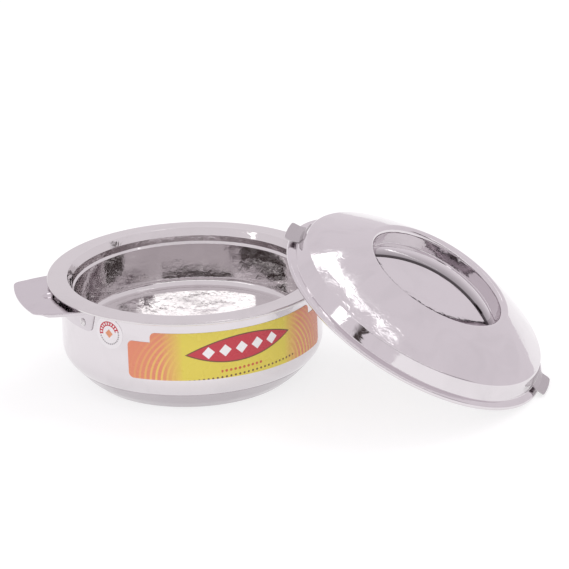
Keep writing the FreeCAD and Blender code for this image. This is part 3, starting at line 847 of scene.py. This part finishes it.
rivet_metal = hammered("rivet_aluminium")
inside = math.sqrt((WALL - SHEET) ** 2 - 5.0 ** 2) - 0.02 - 1.0
head = WALL + PLATE + 0.02
rivet_corners = [(0, inside - 1.2, 0), (3.2, inside - 1.2, 0.5), (3.2, inside, 0), (2.1, inside, 0),
                 (2.1, head, 0), (3.8, head, 0), (3.8, head + 0.5, 0.4), (1.9, head + 1.5, 1.0),
                 (1.3, head + 1.5, 0.2), (0, head + 0.7, 0)]


def rivet_patch(degrees):
    """The turned rivet laid along the radius: its axis becomes X, then the
    whole is turned to its angle about the pot."""
    points, corner, uv = turned_patch(rounded_line(rivet_corners), around=48)
    lay = lambda a: a[..., [2, 0, 1]]
    turned, normals = about_axis(degrees)(lay(points) + (0, 0, RIVET_HEIGHT), lay(corner))
    return turned, normals, uv


rivets = [rivet_patch(side + turn) for side in (0, 180) for turn in (-RIVET_ANGLE, RIVET_ANGLE)]
make_piece("rivets", rivets, rivet_metal, "pot", "handle_rivets", "rivet_aluminium")

# %% [markdown]
# ## Printed label and round sticker
# The label is thin film wrapped round the wall: a wide patch with a lower
# shoulder at each end. Its print is made by the material from the label's own
# coordinates, in metres along the wall and up: an orange ground at both ends,
# a yellow middle, a red lens with white beads, and fine brown dot rows.

# %% Film surfaces
FILM = WALL + 0.02
FILM_THICK = 0.2


def on_wall(arc, height, radius):
    """Wraps (arc, height) round the wall: angle = arc / wall radius."""
    angle = arc / WALL
    return np.stack([radius * np.cos(angle), radius * np.sin(angle), height], -1)


def film_patches(arc, height, wrap=False):
    """Front, back and edges of a film over a grid of arc lengths and heights."""
    front, back = on_wall(arc, height, FILM + FILM_THICK), on_wall(arc, height, FILM)
    away = on_wall(arc, np.zeros_like(height), 1.0)
    uv = np.stack([arc - arc.mean(), height - height.mean()], -1) * MM
    patches = [even_patch(front, away, uv), even_patch(back, -away, uv)]
    sides = [np.s_[-1]] if wrap else [np.s_[0], np.s_[-1], np.s_[:, 0], np.s_[:, -1]]
    for side in sides:
        rim = np.stack([front[side], back[side]])
        out = rim[0] - front.reshape(-1, 3).mean(0)
        out -= np.sum(out * away[side], -1)[:, None] * away[side]
        out /= np.linalg.norm(out, axis=-1)[:, None]
        patches.append(even_patch(rim, np.stack([out, out]), np.stack([uv[side], uv[side]])))
    return patches


def rounded_span(x, start, end, low, high, corner):
    """Lower and upper limit at x of a box with round corners: near an end the
    limits move in by c - sqrt(c*c - (c-d)**2), d being the distance to the end."""
    near = np.clip(corner - np.minimum(x - start, end - x), 0, corner)
    inset = corner - np.sqrt(np.maximum(corner ** 2 - near ** 2, 0))
    return low + inset, high - inset


FLANGE_ANGLE = math.degrees(math.asin(FLANGE_HALF / WALL))
STICKER_RADIUS, STICKER_HEIGHT = 15.0, 76.0
STICKER_ARC = math.radians(180 + FLANGE_ANGLE) * WALL + 1.6 + STICKER_RADIUS
LABEL_FROM = STICKER_ARC + STICKER_RADIUS + 4.7
LABEL_TO = math.radians(360 - FLANGE_ANGLE) * WALL - 4.9
LABEL_STEP = math.radians(10.5) * WALL
LABEL_LOW, LABEL_SHOULDER, LABEL_HIGH = 37.2, 73.0, 82.5


def label_grid():
    """Columns along the label, close together at the round corners; each runs
    from the lower to the upper limit there."""
    ends = 5 * (1 - np.cos(np.linspace(0, math.pi / 2, 10)))
    start, end = LABEL_FROM, LABEL_TO
    low_step, high_step = start + LABEL_STEP, end - LABEL_STEP
    arc = np.unique(join([
        start + ends, [low_step - 0.01], low_step + ends, end - ends,
        [high_step + 0.01], high_step - ends, np.linspace(start + 5, end - 5, 180)]))
    low, high = rounded_span(arc, start, end, LABEL_LOW, LABEL_SHOULDER, 5.0)
    inner = (arc >= low_step) & (arc <= high_step)
    _, top = rounded_span(arc[inner], low_step, high_step, LABEL_LOW, LABEL_HIGH, 5.0)
    high[inner] = top
    share = np.linspace(0, 1, 9)[:, None]
    return spread(arc, (9, len(arc))), low + share * (high - low)


label_arc, label_height = label_grid()
print("label runs", round(LABEL_TO - LABEL_FROM, 1), "mm round the wall")

# %% Label print


def edge_of(depth, soft=0.0003):
    """Turns a depth inside a shape into a share from 0 to 1 over a soft edge."""
    return depth.ramp(-soft / 2, soft / 2)


ORANGE, YELLOW, RED = (0.72, 0.235, 0.13), (0.72, 0.60, 0.07), (0.53, 0.022, 0.045)
WHITE, BROWN = (0.87, 0.85, 0.85), (0.13, 0.045, 0.02)
ARC_PITCH, BEAD_PITCH, DOT_PITCH = 0.0052, 0.0155, 0.0042


def label_print(name):
    """Orange ends with yellow arcs, a yellow middle, a red lens with beads.
    The lens is where |rise| < 0.0115 - 4.6 x*x; repeats are x modulo a pitch."""
    material, tree = new_material(name)
    x, y = uv_parts(tree)
    ends = edge_of(abs(x + 0.004) - 0.060, 0.02)
    colour = paint(tree, YELLOW, ORANGE, ends)
    far = length_of(x, (y + 0.022) * 1.5)
    arcs = (far * (2 * math.pi / ARC_PITCH)).calc("SINE")
    arcs = edge_of(arcs - 0.35, 0.5) * edge_of(0.092 - far, 0.03)
    colour = paint(tree, colour, (0.80, 0.55, 0.12), arcs * ends)
    slope = y - x * 0.06
    rise = slope - 0.006
    lens = 0.0115 - x * x * 4.6 - abs(rise)
    colour = paint(tree, colour, BROWN, edge_of(lens + 0.0011))
    colour = paint(tree, colour, RED, edge_of(lens))
    cell = (x + BEAD_PITCH * 8.5).calc("FLOORED_MODULO", BEAD_PITCH) - BEAD_PITCH / 2
    row = edge_of(BEAD_PITCH * 2.5 - abs(x))
    colour = paint(tree, colour, WHITE, row * edge_of(0.0058 - (abs(cell) + abs(rise))))
    dot = (x + 1.0).calc("FLOORED_MODULO", DOT_PITCH) - DOT_PITCH / 2
    for low, half, ink, size in ((-0.0135, 0.020, (0.55, 0.10, 0.03), 0.0013),
                                 (-0.0192, 0.058, BROWN, 0.0010)):
        spot = edge_of(size - length_of(dot, slope - low))
        colour = paint(tree, colour, ink, edge_of(half - abs(x)) * spot)
    colour = paint(tree, colour, (0.9, 0.85, 0.8), field_noise(tree, 900.0, 3.0) * 0.05)
    rough = field_noise(tree, 60.0, 3.0).ramp(0.3, 0.7, 0.20, 0.34)
    bump = bumped(tree, field_noise(tree, 90.0, 2.0), 0.00003, strength=0.4)
    finish_surface(tree, colour, rough, bump, 0.0)
    return material


make_piece("wall_label", film_patches(label_arc, label_height), label_print("printed_label"),
           "pot", "front_label", "printed_label")

# %% Round sticker


def sticker_grid():
    """Rings of a disc: arc = R s cos a and height = R s sin a."""
    share = np.linspace(0, 1, 9)[:, None]
    angle = np.linspace(0, 2 * math.pi, 97)[None]
    far = STICKER_RADIUS * share
    return STICKER_ARC + far * np.cos(angle), STICKER_HEIGHT + far * np.sin(angle)


def sticker_print(name):
    """Clear film with a red arc, an orange diamond and a grey dot ring. Ink is
    opaque, and between the inks the film looks like the metal under it."""
    material, tree = new_material(name)
    x, y = uv_parts(tree)
    far = length_of(x, y)
    band = lambda middle, half: edge_of(half - abs(far - middle))
    turn = y.calc("ARCTAN2", x)
    upper = edge_of(y - x * 0.25, 0.0006)
    arc = band(0.0090, 0.0021) * upper
    colour = paint(tree, (0.76, 0.73, 0.75), RED, arc)
    tips = band(0.0090, 0.0011) * edge_of((turn * 20.0).calc("COSINE"), 0.3)
    colour = paint(tree, colour, WHITE, tips * upper)
    diamond = edge_of(0.0042 - (abs(x) + abs(y + 0.0005)))
    colour = paint(tree, colour, (0.72, 0.30, 0.16), diamond)
    dots = band(0.0105, 0.0007) * edge_of((turn * 30.0).calc("COSINE"), 0.3)
    colour = paint(tree, colour, (0.20, 0.18, 0.19), dots * (1.0 - upper))
    rough = field_noise(tree, 90.0, 3.0).ramp(0.3, 0.7, 0.15, 0.30)
    finish_surface(tree, colour, rough, metallic=1.0 - arc.calc("MAXIMUM", diamond))
    return material


make_piece("seal_sticker", film_patches(*sticker_grid(), wrap=True), sticker_print("clear_sticker"),
           "pot", "round_sticker", "clear_sticker")

# %% [markdown]
# ## The lid, drawn upright and then leaned
# The lid is drawn in a frame of its own, about its own axis, as it came off
# the lathe. One place function then leans it: it turns by its spin, tilts,
# turns to its bearing and moves to where its rolled edge touches the floor.

# %% Lid frame
LID, LID_ROLL, LEAN, BEARING, SPIN = 132.4, 2.0, 31.590, -30.7, 3.8
LID_AWAY = 211.35


def turn_matrix(axis, degrees):
    return np.array(Matrix.Rotation(math.radians(degrees), 3, axis))


LID_TURN = turn_matrix("Z", BEARING) @ turn_matrix("Y", LEAN) @ turn_matrix("Z", SPIN)
LID_CENTRE = np.array([LID_AWAY * math.cos(math.radians(BEARING)),
                       LID_AWAY * math.sin(math.radians(BEARING)),
                       (LID - LID_ROLL) * math.sin(math.radians(LEAN)) + LID_ROLL])


def leaned(points, normals):
    """p goes to R p + c, a normal n to R n."""
    return points @ LID_TURN.T + LID_CENTRE, normals @ LID_TURN.T


print("lid centre at", np.round(LID_CENTRE, 1).tolist(), "mm")

# %% Lid skin
WELL, WELL_FLOOR = 65.3, 28.0
lid_corners = [(LID - 4.2, -LID_ROLL, 0), (LID, -LID_ROLL, LID_ROLL), (LID, LID_ROLL, LID_ROLL),
               (127.4, 3.4, 1.0), (125.3, 3.8, 1.0), (121.5, 18.2, 3.0), (97.0, 32.0, 500.0),
               (65.7, 46.6, 5.0), (WELL, WELL_FLOOR, 1.0), (0, WELL_FLOOR, 0)]
spun_sheet("lid_skin", lid_corners, lid_steel, "lid", "lid_dome", "lid_steel", leaned)

# %% Lid pan
pan_corners = [(0, -11.6, 0), (105.3, -11.6, 3.0), (106.6, -0.4, 1.6), (130.3, -0.4, 0)]
spun_sheet("lid_pan", pan_corners, lid_steel, "lid", "lid_inner_pan", "polished_steel", leaned)

# %% [markdown]
# ## Strap handle over the well
# The strap is a crowned channel carried along an arc, so it stands high in the
# middle of the well and runs into the rounded wall at both ends. All its lines
# end at the same angle, where the crown has just entered the wall.

# %% Strap
STRAP_HALF, STRAP_RISE, STRAP_PLATE, STRAP_REACH = 11.0, 4.0, 1.2, 66.2
STRAP_LOW, STRAP_ARC = WELL_FLOOR + 22.6, 108.0


def strap_section():
    """Crowned channel as (across, rise): outer arc, rolled edge, inner arc,
    rolled edge. The arc through both edges and the top has radius
    (w*w + h*h) / 2h."""
    big = (STRAP_HALF ** 2 + STRAP_RISE ** 2) / (2 * STRAP_RISE)
    reach = math.asin(STRAP_HALF / big)
    half = STRAP_PLATE / 2
    sweep = np.linspace(-reach, reach, 41)
    tip = np.linspace(0, math.pi, 9)[1:-1]
    middle, centre = big - half, STRAP_RISE - big
    outer = np.stack([np.sin(sweep), np.cos(sweep)], -1)
    end = middle * np.array([math.sin(reach), math.cos(reach)])
    turn = reach + tip
    cap = np.stack([np.sin(turn), np.cos(turn)], -1)
    spots = join([(middle + half) * outer, end + half * cap, (middle - half) * outer[::-1],
                  end * (-1, 1) + half * cap[::-1] * (-1, 1)])
    normals = join([outer, cap, -outer[::-1], cap[::-1] * (-1, 1)])
    spots = join([spots, spots[:1]]) + (0, centre)
    return spots, join([normals, normals[:1]])


def strap_patches():
    """Rows round the section, columns along the arc."""
    section, flat = strap_section()
    radius = STRAP_ARC + section[:, 1]
    centre = STRAP_LOW - STRAP_ARC
    limit = math.asin(STRAP_REACH / (STRAP_ARC + STRAP_RISE))
    angle = np.full((len(section), 1), limit) * np.linspace(-1, 1, 161)[None]
    points = np.stack([radius[:, None] * np.sin(angle), spread(section[:, :1], angle.shape),
                       centre + radius[:, None] * np.cos(angle)], -1)
    normals = np.stack([flat[:, 1:] * np.sin(angle), spread(flat[:, :1], angle.shape),
                        flat[:, 1:] * np.cos(angle)], -1)
    uv = np.stack([angle * STRAP_ARC, spread(section[:, :1], angle.shape)], -1) * MM
    patches = [even_patch(points, normals, uv)]
    half = len(section) // 2
    for column in (0, -1):
        foot = points[:, column]
        cap = np.stack([foot[:half + 1], foot[half:][::-1]])
        down = spread([0.0, 0.0, -1.0], cap.shape)
        patches.append(even_patch(cap, down, cap[..., :2] * MM))
    return patches


# The strap's grey near half and dark rolled edges are painted shade from the rim strip, not reflections.
strap_steel_painted_shade = steel("strap_steel_painted_shade", LILAC, gloss=0.06, wave=0.0003, spun=False, rim=0.0099)
make_piece("strap", strap_patches(), strap_steel_painted_shade, "lid", "lid_handle", "lid_steel", leaned)

# %% [markdown]
# ## Two tabs on the band
# Each tab is a strip of sheet with one leaf on the upright band and one leaf
# bent out over the rolled edge. Its section is carried round the lid's axis
# between two straight sides, and its outer corners are rounded.

# %% Tabs
TAB_HALF, TAB_SHEET, TAB_CORNER = 18.0, 1.0, 2.2


def tab_patches(degrees):
    """Rows run down the section, columns across: a point at radius r and
    width y stands at x = sqrt(r*r - y*y)."""
    line, before, after = rounded_line([(122.767, 13.4, 0), (124.35, 7.4, 1.6), (130.0, 5.2, 3.0),
                                        (138.2, 4.6, 0)])
    normals = -join([before[:1], after])
    far = np.hypot(*(line[-1] - line[-2]))
    extra = np.linspace(0, 1, 14)[1:-1, None]
    line = join([line[:-1], line[-2] + extra * (line[-1] - line[-2]), line[-1:]])
    normals = join([normals[:-1], spread(normals[-1], (len(extra), 2)), normals[-1:]])
    left = join([np.cumsum(np.hypot(*np.diff(line, axis=0).T)[::-1])[::-1], [0]])
    into = np.clip(TAB_CORNER - left, 0, TAB_CORNER)
    half = TAB_HALF - TAB_CORNER + np.sqrt(np.maximum(TAB_CORNER ** 2 - into ** 2, 0))
    y = half[:, None] * np.linspace(-1, 1, 41)[None]

    def swept(flat, width):
        x = np.sqrt(flat[:, :1] ** 2 - width ** 2)
        return np.stack([x, width, spread(flat[:, 1:], width.shape)], -1)

    inner = swept(line, y)
    outer = swept(line + TAB_SHEET * normals, y)
    away = np.stack([normals[:, :1] * np.sqrt(1 - (y / line[:, :1]) ** 2),
                     normals[:, :1] * y / line[:, :1], spread(normals[:, 1:], y.shape)], -1)
    uv = inner[..., 1:] * MM
    patches = [even_patch(outer, away, uv), even_patch(inner, -away, uv)]
    for side, out in ((np.s_[0], (0, 0, 1)), (np.s_[-1], (1, 0, 0)), (np.s_[:, 0], (0, -1, 0)),
                      (np.s_[:, -1], (0, 1, 0))):
        rim = np.stack([outer[side], inner[side]])
        flat = spread(np.array(out, float), rim.shape)
        patches.append(even_patch(rim, flat, rim[..., 1:] * MM))
    turn = turn_matrix("Z", degrees)
    return [(grid @ turn.T, corner @ turn.T, uv) for grid, corner, uv in patches]


# The tabs' darker tint is painted shade.
tab_steel_painted_shade = steel("tab_steel_painted_shade", (0.52, 0.49, 0.505), gloss=0.16, smear=0.14, spun=False)
for name, solid, degrees in (("tab_near_floor", "lid_tab_low", 0), ("tab_over_pot", "lid_tab_high", 180)):
    make_piece(name, tab_patches(degrees), tab_steel_painted_shade, "lid", solid, "lid_steel", leaned)

# %% [markdown]
# ## Hidden pieces
# The foam and the washers are inside. They keep their solids and get a finish
# of their own.

# %% Foam and washers


def foam(name):
    """Pale rigid foam: a cell pattern lifts and shades its surface."""
    material, tree = new_material(name)
    cells = cell_pattern(tree, 700.0)
    colour = paint(tree, (0.78, 0.66, 0.38), (0.88, 0.80, 0.58), cells)
    bump = bumped(tree, cells, 0.0006, strength=0.8)
    finish_surface(tree, colour, cells.ramp(0.0, 1.0, 0.75, 0.95), bump, 0.0)
    return material


def give(name, material):
    """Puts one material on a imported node's object."""
    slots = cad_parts[name].data.materials
    slots.clear()
    slots.append(material)


foam_finish = foam("insulating_foam")
for name in ("body_insulation", "lid_insulation"):
    give(name, foam_finish)
give("rivet_washers", steel("washer_steel", (0.58, 0.55, 0.56), gloss=0.22, spun=False))
print("hidden nodes dressed")
